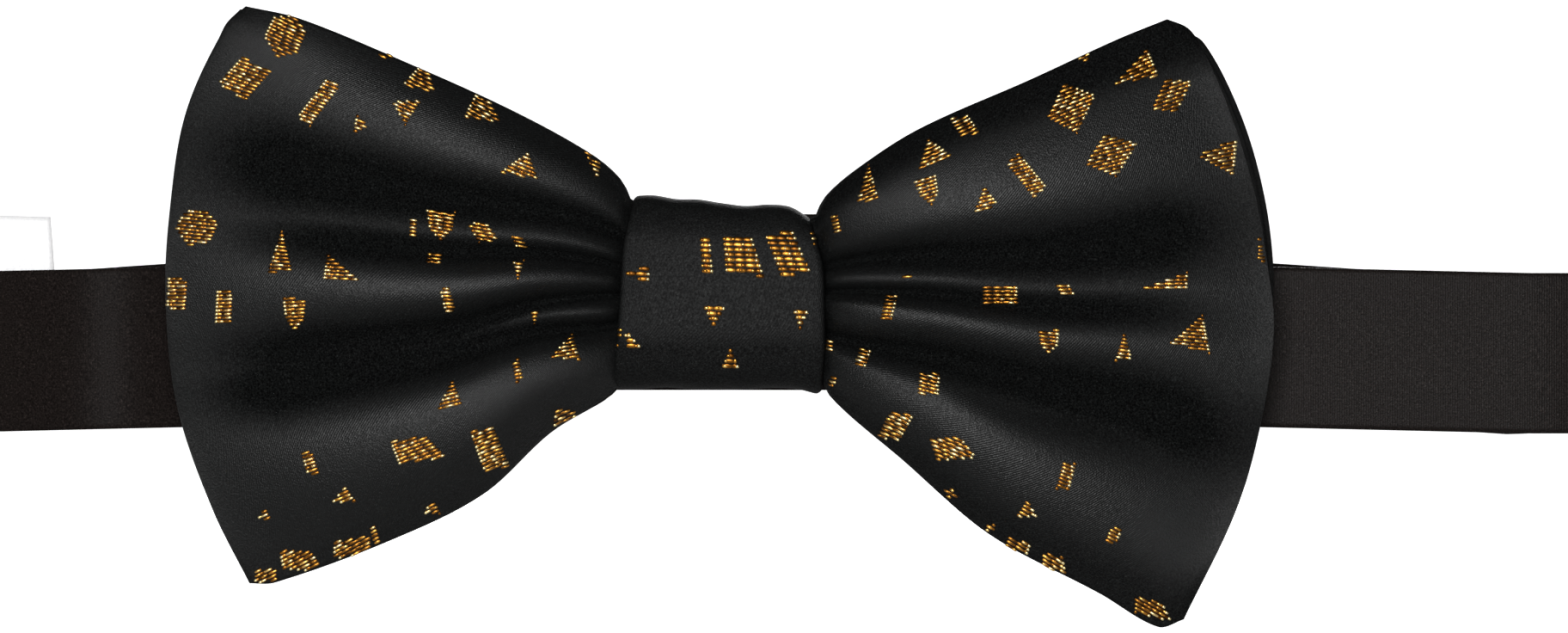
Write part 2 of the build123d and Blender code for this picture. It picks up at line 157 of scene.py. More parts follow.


# %% [markdown]
# ## Finishes
# The cloth is a near-black satin: a tight twill of very fine threads, a soft highlight
# and a slight speckle where single threads catch the light. Along its pleats and some of
# its edges a painted shade takes that highlight away: each cloth piece may carry a per-point
# value, 0 to 1, that makes it rougher and darkens its highlight. The metal thread is a real
# metal with a tone of its own for each float. Ribbon, thread, label and nickel are kept apart, because
# each one answers the light differently.

# %% Start a material


def new_material(name):
    material = bpy.data.materials.new(name)
    material.use_nodes = True
    nodes = material.node_tree.nodes
    return material, nodes, material.node_tree.links, nodes["Principled BSDF"]


def object_noise(nodes, links, scale, detail=2.0, stretch=(1, 1, 1)):
    place = nodes.new("ShaderNodeTexCoord")
    mapping = nodes.new("ShaderNodeMapping")
    mapping.inputs["Scale"].default_value = stretch
    noise = nodes.new("ShaderNodeTexNoise")
    noise.inputs["Scale"].default_value = scale
    noise.inputs["Detail"].default_value = detail
    links.new(place.outputs["Object"], mapping.inputs["Vector"])
    links.new(mapping.outputs["Vector"], noise.inputs["Vector"])
    return noise


def ramp_from(nodes, links, source, stops):
    ramp = nodes.new("ShaderNodeValToRGB")
    while len(ramp.color_ramp.elements) < len(stops):
        ramp.color_ramp.elements.new(0.5)
    for element, (place, colour) in zip(ramp.color_ramp.elements, stops):
        element.position = place
        element.color = (*colour, 1)
    links.new(source, ramp.inputs["Fac"])
    return ramp


def bump_from(nodes, links, shader, source, distance, strength=1.0):
    bump = nodes.new("ShaderNodeBump")
    bump.inputs["Distance"].default_value = distance
    bump.inputs["Strength"].default_value = strength
    links.new(source, bump.inputs["Height"])
    links.new(bump.outputs["Normal"], shader.inputs["Normal"])
    return bump


# %% Black jacquard


twill_scale = 1200
twill_share = 0.3  # how far the twill lines stand out beside the single threads
gloss_spread = 0.1
# Painted shade in the creases: how much rougher the cloth gets and how far its highlight is dimmed
shaded_roughness = 0.8
shaded_highlight = 0.22
full_shade = 0.75


def woven_black(
    name, dark, light, roughness, gleam, speckle, depth, twill_turn=0.0, sheen=0.0, with_painted_shade=True,
):
    """Satin cloth: speckled threads, and a fine twill line on the piece's own UV map."""
    material, nodes, links, shader = new_material(name)
    grain = object_noise(nodes, links, speckle, 3.0)
    glint = [2.6 * channel for channel in light]
    tone = ramp_from(nodes, links, grain.outputs["Fac"], [(0.36, dark), (0.62, light), (0.74, glint)])
    links.new(tone.outputs["Color"], shader.inputs["Base Color"])
    cloth_map = nodes.new("ShaderNodeUVMap")
    turn = nodes.new("ShaderNodeMapping")
    turn.inputs["Rotation"].default_value[2] = twill_turn
    wave = nodes.new("ShaderNodeTexWave")
    wave.inputs["Scale"].default_value = twill_scale
    wave.inputs["Distortion"].default_value = 0.6
    links.new(cloth_map.outputs["UV"], turn.inputs["Vector"])
    links.new(turn.outputs["Vector"], wave.inputs["Vector"])
    height = nodes.new("ShaderNodeMath")
    height.operation = "MULTIPLY_ADD"
    height.inputs[1].default_value = twill_share
    links.new(wave.outputs["Fac"], height.inputs[0])
    links.new(grain.outputs["Fac"], height.inputs[2])
    bump_from(nodes, links, shader, height.outputs[0], depth)
    gloss = nodes.new("ShaderNodeMapRange")
    gloss.inputs["From Min"].default_value = 0.3
    gloss.inputs["From Max"].default_value = 0.7
    gloss.inputs["To Min"].default_value = roughness + gloss_spread
    gloss.inputs["To Max"].default_value = roughness - gloss_spread
    links.new(grain.outputs["Fac"], gloss.inputs["Value"])
    # Painted shade, read from a per-point attribute, unless the piece has none
    if with_painted_shade:
        roughen_and_paint_shade(nodes, links, shader, gloss.outputs["Result"])
    else:
        links.new(gloss.outputs["Result"], shader.inputs["Roughness"])
    shader.inputs["Sheen Weight"].default_value = sheen
    shader.inputs["Sheen Roughness"].default_value = 0.35
    shader.inputs["Specular IOR Level"].default_value = gleam
    return material


def roughen_and_paint_shade(nodes, links, shader, roughness):
    """Rougher cloth where the attribute says so, and a painted shade that darkens its highlight there, in
    place of the shade in its creases.
    """
    shade_mask = nodes.new("ShaderNodeAttribute")
    shade_mask.attribute_name = "dull"
    dulled = nodes.new("ShaderNodeMath")
    dulled.operation = "MULTIPLY_ADD"
    dulled.inputs[1].default_value = shaded_roughness
    links.new(shade_mask.outputs["Fac"], dulled.inputs[0])
    links.new(roughness, dulled.inputs[2])
    links.new(dulled.outputs[0], shader.inputs["Roughness"])
    # Painted shade: the attribute darkens the highlight through Specular Tint
    shade = nodes.new("ShaderNodeMapRange")
    shade.inputs["From Max"].default_value = full_shade
    shade.inputs["To Min"].default_value = 1.0
    shade.inputs["To Max"].default_value = shaded_highlight
    links.new(shade_mask.outputs["Fac"], shade.inputs["Value"])
    links.new(shade.outputs["Result"], shader.inputs["Specular Tint"])


jacquard = woven_black(
    "black_jacquard", dark=(0.0004, 0.0004, 0.00045), light=(0.0046, 0.005, 0.0049),
    roughness=0.4, gleam=0.2, speckle=5200, depth=0.00006, twill_turn=0.7,
)
ribbon_satin = woven_black(
    "black_ribbon", dark=(0.003, 0.0021, 0.0018), light=(0.0085, 0.0062, 0.0055),
    roughness=0.5, gleam=0.085, speckle=5200, depth=0.00006,
)
print("cloth finishes:", jacquard.name, ribbon_satin.name)

# %% Metal thread, nickel, sewing thread and label
metal_thread, nodes, links, shader = new_material("gold_thread")
tone = nodes.new("ShaderNodeAttribute")
tone.attribute_name = "tone"
gold = ramp_from(
    nodes, links, tone.outputs["Fac"],
    [
        (0.0, (0.1, 0.036, 0.006)), (0.35, (0.42, 0.18, 0.026)),
        (0.75, (0.92, 0.5, 0.1)), (1.0, (1.0, 0.8, 0.38)),
    ],
)
links.new(gold.outputs["Color"], shader.inputs["Base Color"])
shader.inputs["Metallic"].default_value = 1.0
shader.inputs["Roughness"].default_value = 0.36
foil = object_noise(nodes, links, 9000, 2.0)
bump_from(nodes, links, shader, foil.outputs["Fac"], 0.00002, 0.5)

nickel, nodes, links, shader = new_material("polished_nickel")
wear = object_noise(nodes, links, 420, 4.0)
plate = ramp_from(nodes, links, wear.outputs["Fac"], [(0.3, (0.52, 0.5, 0.46)), (0.7, (0.72, 0.69, 0.64))])
links.new(plate.outputs["Color"], shader.inputs["Base Color"])
gloss = nodes.new("ShaderNodeMapRange")
gloss.inputs["To Min"].default_value = 0.12
gloss.inputs["To Max"].default_value = 0.3
links.new(wear.outputs["Fac"], gloss.inputs["Value"])
links.new(gloss.outputs["Result"], shader.inputs["Roughness"])
shader.inputs["Metallic"].default_value = 1.0
bump_from(nodes, links, shader, wear.outputs["Fac"], 0.00002, 0.3)


def spun(name, colour, shade):
    """Sewing thread or plain interlining: matte, with the twist as fine lines."""
    material, nodes, links, shader = new_material(name)
    twist = object_noise(nodes, links, 3000, 2.0, (1, 1, 3))
    tones = ramp_from(nodes, links, twist.outputs["Fac"], [(0.3, shade), (0.7, colour)])
    links.new(tones.outputs["Color"], shader.inputs["Base Color"])
    bump_from(nodes, links, shader, twist.outputs["Fac"], 0.00006, 0.6)
    shader.inputs["Roughness"].default_value = 0.8
    return material


black_thread = spun("black_thread", (0.022, 0.021, 0.02), (0.006, 0.006, 0.006))
white_thread = spun("white_thread", (0.78, 0.77, 0.74), (0.5, 0.49, 0.47))
interlining = spun("woven_interlining", (0.62, 0.6, 0.55), (0.42, 0.4, 0.37))
label_satin = woven_black(
    "white_label_satin", dark=(0.66, 0.66, 0.67), light=(0.71, 0.71, 0.72),
    roughness=0.38, gleam=0.3, speckle=3600, depth=0.00001, sheen=0.1, with_painted_shade=False,
)
label_white = 0.71
label_ramp = next(n for n in label_satin.node_tree.nodes if n.bl_idname == "ShaderNodeValToRGB").color_ramp
for element in label_ramp.elements:
    element.color = [min(channel, label_white) for channel in element.color[:3]] + [1]
print("other finishes ready")

# %% Dress the nodes that keep their own shape
for node, material in {
    "hook": nickel, "eye_ring": nickel, "slide_adjuster": nickel,
    "knot_seam_stitches": black_thread, "waist_binding": black_thread,
    "ring_tack": black_thread, "slide_tack": black_thread,
    "label_stitches": white_thread, "label_hem": label_satin, "knot_padding": interlining,
}.items():
    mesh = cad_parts[node].data
    mesh.materials.clear()
    mesh.materials.append(material)

# %% [markdown]
# ## The bow's cloth
# A butterfly bow is one long hourglass of folded cloth, bent back on itself at both wing
# tips and gathered at the waist. Seen from above each wing is a flat loop, open at its top
# and bottom. So the whole bow is one closed band of cloth: along the front, round the right
# tip, along the back and round the left tip. Each wing is filled in between its four edges,
# then pleats are pressed into it, deep at the knot and fading towards the tip.

# %% Edges of the wings, in millimetres across and up from the knot's centre
front_left = {
    "side": -1,
    "top": [(9.7, 9.9), (10.9, 12.4), (14.0, 15.1), (22.3, 19.7), (33.5, 24.8), (45.6, 29.8),
            (51.6, 31.2)],
    "tip": [(51.6, 31.2), (53.6, 29.4), (58.1, 19.7), (59.9, 8.6), (60.3, -0.7), (59.1, -11.9),
            (55.3, -23.1), (51.2, -31.3)],
    "bottom": [(10.2, -8.4), (12.2, -10.9), (18.6, -14.9), (26.0, -21.7), (36.3, -26.8),
               (48.4, -31.2), (51.2, -31.3)],
}
front_right = {
    "side": 1,
    "top": [(10.2, 8.0), (11.4, 10.6), (14.9, 13.7), (21.4, 17.9), (33.5, 23.3), (42.8, 27.6),
            (48.2, 29.8)],
    "tip": [(48.2, 29.8), (50.5, 28.8), (52.0, 26.6), (55.0, 19.7), (57.6, 11.3), (59.1, 3.0),
            (59.8, -3.5), (58.6, -12.8), (55.8, -23.1), (50.0, -35.2)],
    "bottom": [(10.2, -8.2), (11.9, -11.3), (19.5, -17.9), (28.8, -25.9), (40.9, -32.4),
               (47.2, -36.0), (50.0, -35.2)],
}
rear_left = {
    "side": -1,
    "top": [(10.2, 8.2), (11.5, 11.2), (14.5, 14.0), (22.3, 18.7), (33.5, 23.9), (45.6, 29.0),
            (52.4, 31.0)],
    "tip": [(52.4, 31.0), (54.2, 29.0), (57.8, 19.7), (59.2, 8.6), (59.5, -0.7), (58.3, -11.9),
            (54.3, -22.5), (51.0, -28.9)],
    "bottom": [(10.2, -8.4), (12.4, -11.0), (14.6, -12.4), (18.6, -14.2), (26.0, -20.7),
               (36.3, -25.8), (48.0, -28.9), (51.0, -28.9)],
}
rear_right = {
    "side": 1,
    "top": [(10.2, 7.2), (11.6, 9.8), (14.9, 12.8), (21.4, 17.0), (33.5, 22.4), (42.8, 26.8),
            (49.6, 28.8)],
    "tip": [(49.6, 28.8), (52.3, 27.4), (56.3, 19.7), (58.8, 11.3), (59.9, 3.0), (59.6, -3.5),
            (58.3, -11.8), (55.0, -21.1), (50.2, -31.4)],
    "bottom": [(10.2, -7.6), (12.2, -10.4), (19.5, -16.9), (28.8, -24.7), (40.9, -31.0),
               (47.4, -32.8), (50.2, -31.4)],
}

# %% The pleats of each wing
# Each pleat: its line from knot to tip as shares of the wing's half height, its depth in
# millimetres at the same places, and its width. The shaded edges say between which heights,
# where the cloth turns over, a painted shade darkens its highlight, and by how much.
front_left["pleats"] = [
    ([0.5, 0.47, 0.46, 0.47], [3.0, 5.0, 4.0, 0.5], 0.11),
    ([0.2, 0.2, 0.21, 0.21], [3.0, 3.8, 2.2, 0.0], 0.06),
    ([-0.08, -0.15, -0.19, -0.22], [3.0, 3.8, 3.0, 0.3], 0.065),
    ([-0.38, -0.3, -0.32, -0.34], [3.0, 4.8, 4.0, 0.4], 0.08),
]
front_right["pleats"] = [
    ([0.32, 0.26, 0.27, 0.31], [3.0, 4.8, 4.0, 0.4], 0.09),
    ([0.05, 0.03, 0.02, 0.02], [2.6, 3.4, 2.2, 0.0], 0.05),
    ([-0.42, -0.32, -0.31, -0.38], [3.2, 5.2, 4.6, 0.9], 0.095),
    ([-0.5, -0.46, -0.42, -0.5], [0.0, 0.0, 1.5, 0.0], 0.06),
]
# Painted shade along the top and bottom edges of the front wings
front_left["dull_edges"] = [(0.86, 1.0, 0.35), (-0.8, -1.0, 0.25)]
front_right["dull_edges"] = [(0.74, 0.9, 0.7), (-0.74, -0.95, 0.5)]
rear_left["dull_edges"] = rear_right["dull_edges"] = []
rear_left["pleats"] = [
    ([0.3, 0.35, 0.4], [1.0, 0.7, 0.1], 0.12),
    ([-0.3, -0.3, -0.35], [1.0, 0.7, 0.1], 0.12),
]
rear_right["pleats"] = [
    ([0.35, 0.4, 0.4], [1.0, 0.7, 0.1], 0.12),
    ([-0.25, -0.3, -0.3], [1.0, 0.7, 0.1], 0.12),
]
all_wings = (front_left, front_right, rear_left, rear_right)
for wing in all_wings:
    wing["curves"] = {
        row: Curve([(wing["side"] * x, z) for x, z in wing[row]]) for row in ("top", "tip", "bottom")
    }
print("wings:", len(all_wings), "pleats:", sum(len(wing["pleats"]) for wing in all_wings))

# %% A point on a wing's panel


def wing_place(wing, along, height):
    """X and Z on a wing: along is 0 at the knot and 1 at the tip, height -1 to 1."""
    curves = wing["curves"]
    down = (1 - height) / 2
    top, bottom = curves["top"].at(along), curves["bottom"].at(along)
    root = curves["top"].at(0).lerp(curves["bottom"].at(0), down)
    tip = curves["tip"].at(down)
    corners = (
        curves["top"].at(0) * (1 - along) * (1 - down) + curves["bottom"].at(0) * (1 - along) * down
        + curves["top"].at(1) * along * (1 - down) + curves["bottom"].at(1) * along * down
    )
    return top * (1 - down) + bottom * down + root * (1 - along) + tip * along - corners


def pleats_near(wing, along, height):
    """Each pleat's depth here, and how many of its widths away this point lies."""
    for line, depths, width in wing["pleats"]:
        offset = (height - between(line, along)) / (width * (0.75 + 0.6 * along))
        yield max(between(depths, along), 0), offset


def pleat_depth(wing, along, height):
    return sum(
        depth * math.exp(0.5 - (offset * offset + 0.25) ** 0.5)
        for depth, offset in pleats_near(wing, along, height)
    )


deep_pleat = 2.6


def wing_painted_shade(wing, along, height):
    """Painted shade, 0 to 1: along the pleats and the turned edges."""
    dull = 0.0
    for depth, offset in pleats_near(wing, along, height):
        dull = max(dull, min(depth / deep_pleat, 1) * math.exp(-(0.8 * offset) ** 2))
    for low, high, amount in wing["dull_edges"]:
        dull = max(dull, amount * smooth_step(low, high, height))
    return dull


# %% The two layers of cloth, as closed bands
front_layer = {
    "wings": (front_left, front_right), "back": -6.9, "root": -10.6, "swell": 6.4, "edge_curl": 3.4,
    "waist": 7.5, "back_pleat": 0.35, "wall": 0.7,
}
rear_layer = {
    "wings": (rear_left, rear_right), "back": -3.5, "root": -5.4, "swell": 0.2, "edge_curl": 0.5,
    "waist": 7.2, "back_pleat": 0.45, "wall": 0.6,
}
waist_share = 0.14
# Painted shade on the back half of each layer's band
back_painted_shade = 0.2
stations, rows = 78, 108


def cloth_point(layer, wing, reach, height, on_back):
    """A point of the layer: reach is 0 at the middle of the waist and 1 at the wing's tip."""
    along = max((reach - waist_share) / (1 - waist_share), 0)
    in_waist = min(reach / waist_share, 1)
    place = wing_place(wing, along, height)
    if reach < waist_share:
        gathered = Vector((0, height * layer["waist"]))
        place = gathered.lerp(place, in_waist)
    swell = math.sin(math.pi * min(along, 1) ** 0.8) ** 0.8 if along > 0 else 0
    puff = 1 - 0.35 * abs(height) ** 3
    front = layer["root"] - layer["swell"] * swell * puff
    front += layer["edge_curl"] * abs(height) ** 5 * (0.25 + 0.75 * swell)
    close = (1 - along ** 9) ** 0.5
    fold = pleat_depth(wing, along, height) * (0.35 + 0.65 * in_waist)
    room = 0.9 * (layer["back"] - front)
    front += room * (1 - math.exp(-fold * (0.45 + 0.55 * close) / room))
    back = layer["back"] - layer["back_pleat"] * (1 + math.cos(height * 7 + wing["side"])) * (1 - along)
    middle, half = (front + back) / 2, (back - front) / 2
    tip_middle = middle * close + (layer["back"] + layer["root"] - 0.6) / 2 * (1 - close)
    depth = tip_middle + half * close * (1 if on_back else -1)
    return place.x, depth, place.y


def cloth_layer(name, layer, material):
    left, right = layer["wings"]
    ends = [math.sin(math.pi / 2 * i / stations) ** 0.9 for i in range(stations + 1)]
    columns = (
        [(left, reach, False) for reach in reversed(ends)]
        + [(right, reach, False) for reach in ends[1:]]
        + [(right, reach, True) for reach in reversed(ends[:-1])]
        + [(left, reach, True) for reach in ends[1:-1]]
    )
    points, faces, dull, count = [], [], [], len(columns)
    for wing, reach, on_back in columns:
        for row in range(rows + 1):
            height = math.sin(math.pi / 2 * (2 * row / rows - 1)) * 0.25 + (2 * row / rows - 1) * 0.75
            points.append(cloth_point(layer, wing, reach, height, on_back))
            along = max((reach - waist_share) / (1 - waist_share), 0)
            dull.append(back_painted_shade if on_back else wing_painted_shade(wing, along, height))
    for column in range(count):
        here, there = column * (rows + 1), (column + 1) % count * (rows + 1)
        for row in range(rows):
            faces.append((here + row, there + row, there + row + 1, here + row + 1))
    cloth = new_piece(name, points, faces, material, "bow")
    # Its own map: metres along the cloth and across it
    layout = cloth.data.uv_layers.new(name="cloth")
    for loop in cloth.data.loops:
        column, row = divmod(loop.vertex_index, rows + 1)
        layout.data[loop.index].uv = (column * 0.0009, row * 0.0006)
    cloth.data.attributes.new("dull", "FLOAT", "POINT").data.foreach_set("value", dull)
    wall = cloth.modifiers.new("wall", "SOLIDIFY")
    wall.thickness = layer["wall"] * MM
    wall.offset = -1
    apply_modifiers(cloth)
    cloth.data.shade_smooth()
    return cloth


front_cloth = cloth_layer("front_bow_cloth", front_layer, jacquard)
rear_cloth = cloth_layer("rear_bow_cloth", rear_layer, jacquard)
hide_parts("front_bow", "front_interlining")
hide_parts("rear_bow", "rear_interlining")
for cloth in (front_cloth, rear_cloth):
    print(cloth.name, len(cloth.data.polygons), "faces")

# %% [markdown]
# ## The knot
# The knot is a strip of the same cloth, wrapped once round the waist over a pad and sewn
# behind. Its front is flattish and rolls over at the top and bottom, and its two side edges
# are turned in. It is made as a ring of cloth about X, a little uneven along both edges.

# %% Wrap the knot
knot_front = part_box("knot_wrap")[0][1] / MM
knot_top = [10.7, 10.75, 10.35, 10.3, 9.9, 9.6, 9.75, 9.5, 8.2]
knot_bottom = [-10.4, -10.3, -10.1, -10.3, -10.35, -10.3, -10.15, -10.3, -10.9]
knot_sides = [-11.9, -11.4, -11.0, -10.7, -9.7], [10.8, 11.1, 11.1, 10.9, 9.8]
knot_columns, knot_rows = 46, 96
# Painted shade: the knot's highlight is dimmed all over, and more where it rolls over at the top and
# bottom
knot_painted_shade, rolled_painted_shade = 0.29, 0.2


def knot_point(across, turn):
    """across is -1 to 1 from left to right, turn goes once round from the bottom."""
    share = (across + 1) / 2
    top, bottom = between(knot_top, share), between(knot_bottom, share)
    up, out = -math.cos(turn), -math.sin(turn)
    rounding = 2 / 3.8 if out < 0 else 2 / 5.0
    up = math.copysign(abs(up) ** rounding, up)
    out = math.copysign(abs(out) ** rounding, out)
    hem = max(abs(across) - 0.93, 0) / 0.07
    shrink = 1 - 0.055 * hem ** 2
    height = (top + bottom) / 2 + (top - bottom) / 2 * up * shrink
    middle = knot_front / 2
    depth = middle + (-middle * out if out > 0 else middle * -out) * shrink
    dent = 0.22 * math.exp(-((height + 5.6 + 0.05 * share) / 1.1) ** 2) if out < 0 else 0
    side = knot_sides[0 if across < 0 else 1]
    edge = between(side, (up + 1) / 2)
    return abs(across) ** 0.97 * abs(edge) * (1 if across > 0 else -1), min(depth + dent, -0.02), height


points, faces = [], []
for column in range(knot_columns + 1):
    across = 2 * column / knot_columns - 1
    across = math.sin(across * math.pi / 2) * 0.5 + across * 0.5
    for row in range(knot_rows):
        points.append(knot_point(across, 2 * math.pi * row / knot_rows))
for column in range(knot_columns):
    for row in range(knot_rows):
        here, above = column * knot_rows, (row + 1) % knot_rows
        faces.append((here + row, here + knot_rows + row, here + knot_rows + above, here + above))
knot = new_piece("knot_cloth", points, faces, jacquard, "bow")
# The painted shade goes on as a per-point attribute
knot.data.attributes.new("dull", "FLOAT", "POINT").data.foreach_set("value", [
    knot_painted_shade + rolled_painted_shade * max(smooth_step(5.2, 8.2, z), smooth_step(-4.6, -6.0, z))
    for _, _, z in points
])
layout = knot.data.uv_layers.new(name="cloth")
for loop in knot.data.loops:
    column, row = divmod(loop.vertex_index, knot_rows)
    layout.data[loop.index].uv = (column * 0.0005, row * 0.0007)
wall = knot.modifiers.new("wall", "SOLIDIFY")
wall.thickness = 0.8 * MM
wall.offset = -1
apply_modifiers(knot)
knot.data.shade_smooth()
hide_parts("knot_wrap", "knot_padding")
print("knot:", len(knot.data.polygons), "faces")

# %% [markdown]
# ## The satin band
# The band is one ribbon 17.5 mm wide, folded round the ring on the left, and round the hook
# and through the slide on the right. A ribbon is a flat closed strip swept along its route,
# so it is given a plan line, seen from above, and the height of its middle at each place.
# The route keeps level with the band's solids, and two soft waves keep it from looking stiff.

# %% Routes seen from above
band_half = 8.75
band_y, rear_y, clasp_y, return_y = -1.8, 38.2, 36.4, 34.6
run_half, bend_y, bend_radius = 88.0, 18.2, 20.0
ring_x, hook_x, slide_x = -50.0, -16.0, 38.0


def line(start, end, step=1.5):
    count = max(int((Vector(end) - Vector(start)).length / step), 1)
    return [Vector(start).lerp(Vector(end), i / count) for i in range(count)]


def arc(centre, radius, begin, sweep, count=14):
    return [
        Vector((
            centre[0] + radius * math.cos(math.radians(begin + sweep * i / count)),
            centre[1] + radius * math.sin(math.radians(begin + sweep * i / count)),
        ))
        for i in range(count)
    ]


def shift(start, end, count=6):
    """An S from one level to another."""
    return [
        Vector((
            start[0] + (end[0] - start[0]) * i / count,
            start[1] + (end[1] - start[1]) * smooth_step(0, 1, i / count),
        ))
        for i in range(count)
    ]


def front_height(x):
    x = abs(x)
    if x < 12.15:
        return 0.0
    if x < 45:
        return -5.4 * smooth_step(12.15, 45, x)
    return -5.4 - min((x - 45) / 43, 1)


rear_slope = 5.0 / 75


def rear_height(x):
    if abs(x) > run_half:
        return -6.9 + 0.5 * smooth_step(run_half, run_half + 10, abs(x))
    return -1.9 - rear_slope * max(abs(x) - 13, 0)


def ribbon(name, route, heights, half, thickness):
    """A flat strip swept along a route, with soft edges and shut ends."""
    section = [
        (-1, -0.995), (-0.6, -1.0), (0.6, -1.0), (1, -0.995),
        (1.04, -0.93), (1, -0.5), (0.98, 0), (1, 0.5), (1.04, 0.93),
        (1, 0.995), (0.6, 1.0), (-0.6, 1.0), (-1, 0.995),
        (-1.04, 0.93), (-1, 0.5), (-0.98, 0), (-1, -0.5), (-1.04, -0.93),
    ]
    points, faces = [], []
    for index, place in enumerate(route):
        before, after = route[max(index - 1, 0)], route[min(index + 1, len(route) - 1)]
        ahead = (after - before).normalized()
        across = Vector((ahead.y, -ahead.x))
        z = heights[index]
        for out, up in section:
            spot = place + across * out * thickness / 2
            points.append((spot.x, spot.y, z + up * (half[index] if isinstance(half, list) else half)))
    size = len(section)
    for index in range(len(route) - 1):
        for corner in range(size):
            here, there = index * size, (index + 1) * size
            nxt = (corner + 1) % size
            faces.append((here + corner, here + nxt, there + nxt, there + corner))
    faces.append(tuple(range(size - 1, -1, -1)))
    faces.append(tuple(range((len(route) - 1) * size, len(route) * size)))
    strip = new_piece(name, points, faces, ribbon_satin, None)
    length = [0.0]
    for one, two in zip(route, route[1:]):
        length.append(length[-1] + (two - one).length)
    layout = strip.data.uv_layers.new(name="cloth")
    for loop in strip.data.loops:
        station, corner = divmod(loop.vertex_index, size)
        layout.data[loop.index].uv = (length[station] * MM, section[corner][1] * 0.00875)
    check = bmesh.new()
    check.from_mesh(strip.data)
    bmesh.ops.recalc_face_normals(check, faces=check.faces)
    check.to_mesh(strip.data)
    check.free()
    strip.data.shade_smooth()
    print(name, "is", round(length[-1]), "mm long")
    return strip


band_thickness = 1.35


def front_wave(x):
    """The ribbon's slow waves where it runs free, in Y."""
    return 0.55 * math.exp(-((x + 67) / 5.5) ** 2) - 0.25 * math.exp(-((x + 79) / 5) ** 2)


# %% The left half, folded round the ring
left_route = line((0, band_y), (-run_half, band_y), 1.2)
left_route += arc((-run_half, bend_y), bend_radius, 270, -180, 30)
left_route += line((-run_half, rear_y), (ring_x, rear_y))
left_route += arc((ring_x, clasp_y), 1.8, 90, -180, 12)
left_route += line((ring_x, return_y), (-53, return_y)) + shift((-53, return_y), (-59, 36.5))
left_route += line((-59, 36.5), (-68, 36.5)) + [Vector((-68, 36.5))]
left_heights = [
    front_height(p.x) if p.y < bend_y - 19 else
    (-6.4 if p.y < bend_y + 10 and p.x < -run_half else rear_height(p.x))
    for p in left_route
]
left_route = [Vector((p.x, p.y + (front_wave(p.x) if p.y < 0 else 0))) for p in left_route]
left_strap = ribbon("left_strap", left_route, left_heights, band_half, band_thickness)


def left_strap_painted_shade(x, y):
    """Painted shade over the left front run, left out along one soft upright fold where the raised wave
    catches the light.
    """
    if x > -50:
        return 0.0
    on_front = min(max((4 - y) / 4, 0), 1)
    return on_front * (0.4 - 0.32 * math.exp(-((x + 67) / 3) ** 2))


# Painted shade on the left strap's front run
left_strap.data.attributes.new("dull", "FLOAT", "POINT").data.foreach_set("value", [
    left_strap_painted_shade(vertex.co.x / MM, vertex.co.y / MM) for vertex in left_strap.data.vertices
])

# %% The right half, folded round the hook's bar
right_route = line((0, band_y), (run_half, band_y), 1.2)
right_route += arc((run_half, bend_y), bend_radius, 270, 180, 30)
right_route += line((run_half, rear_y), (hook_x, rear_y))
right_route += arc((hook_x, clasp_y), 1.8, 90, 180, 12)
right_route += line((hook_x, return_y), (-12.1, return_y)) + [Vector((-12.1, return_y))]
right_heights = [
    front_height(p.x) if p.y < bend_y - 19 else
    (-6.4 if p.y < bend_y + 10 and p.x > run_half else rear_height(p.x))
    for p in right_route
]
right_strap = ribbon("right_strap", right_route, right_heights, band_half, band_thickness)
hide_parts("front_band", "front_band_interlining", "left_band", "left_band_interlining")
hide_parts("right_band", "right_band_interlining")
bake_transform(left_strap)
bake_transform(right_strap)

# %% The free ply between hook and slide, and the end sewn round the slide's bar
return_route = line((-12, return_y), (2, return_y)) + shift((2, return_y), (8, 33.4))
return_route += line((8, 33.4), (28.3, 33.4)) + [Vector((28.3, 33.4))]
return_strap = ribbon(
    "slide_strap", return_route, [rear_height(p.x) for p in return_route], band_half, band_thickness
)
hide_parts("strap_return")
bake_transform(return_strap)

fold_route = line((-9, 33.4), (0, 33.4)) + arc((0, 34.9), 1.5, 270, 180, 12)
fold_route += line((0, 36.4), (-8, 36.4)) + [Vector((-8, 36.4))]
slide_end = ribbon("slide_end", fold_route, [0] * len(fold_route), band_half, 1.3)
slide_lean = math.atan(rear_slope)
slide_end.data.transform(
    Matrix.Translation((slide_x * MM, 0, rear_height(slide_x) * MM)) @ Matrix.Rotation(slide_lean, 4, "Y")
)
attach(slide_end, "slide")
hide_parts("slide_fold")

# %% [markdown]
# ## The care label
# A small blank tape of white satin is sewn behind the left run of the band, into a narrow
# hem along its lower edge. It stands up freely, so its corners curl a little.

# %% The label's tape
label_low, label_high = (Vector(corner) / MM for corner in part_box("care_label"))
label_columns, label_rows = 20, 30
points, faces = [], []
for row in range(label_rows + 1):
    rise = row / label_rows
    for column in range(label_columns + 1):
        across = column / label_columns
        x = label_low.x + (label_high.x - label_low.x) * across - 0.9 * rise ** 2 * across ** 3
        z = label_low.z + (label_high.z - label_low.z) * rise - 0.35 * across * rise
        curl = 0.8 * rise ** 3 * (across - 0.4) ** 2 + 0.25 * math.sin(2.4 * rise + across) * rise
        points.append((x, (label_low.y + label_high.y) / 2 + curl, z))
for row in range(label_rows):
    for column in range(label_columns):
        start = row * (label_columns + 1) + column
        faces.append((start, start + 1, start + label_columns + 2, start + label_columns + 1))
label = new_piece("label_tape", points, faces, label_satin, "label")
layout = label.data.uv_layers.new(name="cloth")
for loop in label.data.loops:
    spot = label.data.vertices[loop.vertex_index].co
    layout.data[loop.index].uv = (spot.x, spot.z)
wall = label.modifiers.new("wall", "SOLIDIFY")
wall.thickness = 0.22 * MM
wall.offset = 0
apply_modifiers(label)
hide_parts("care_label")
print("label:", len(label.data.polygons), "faces")
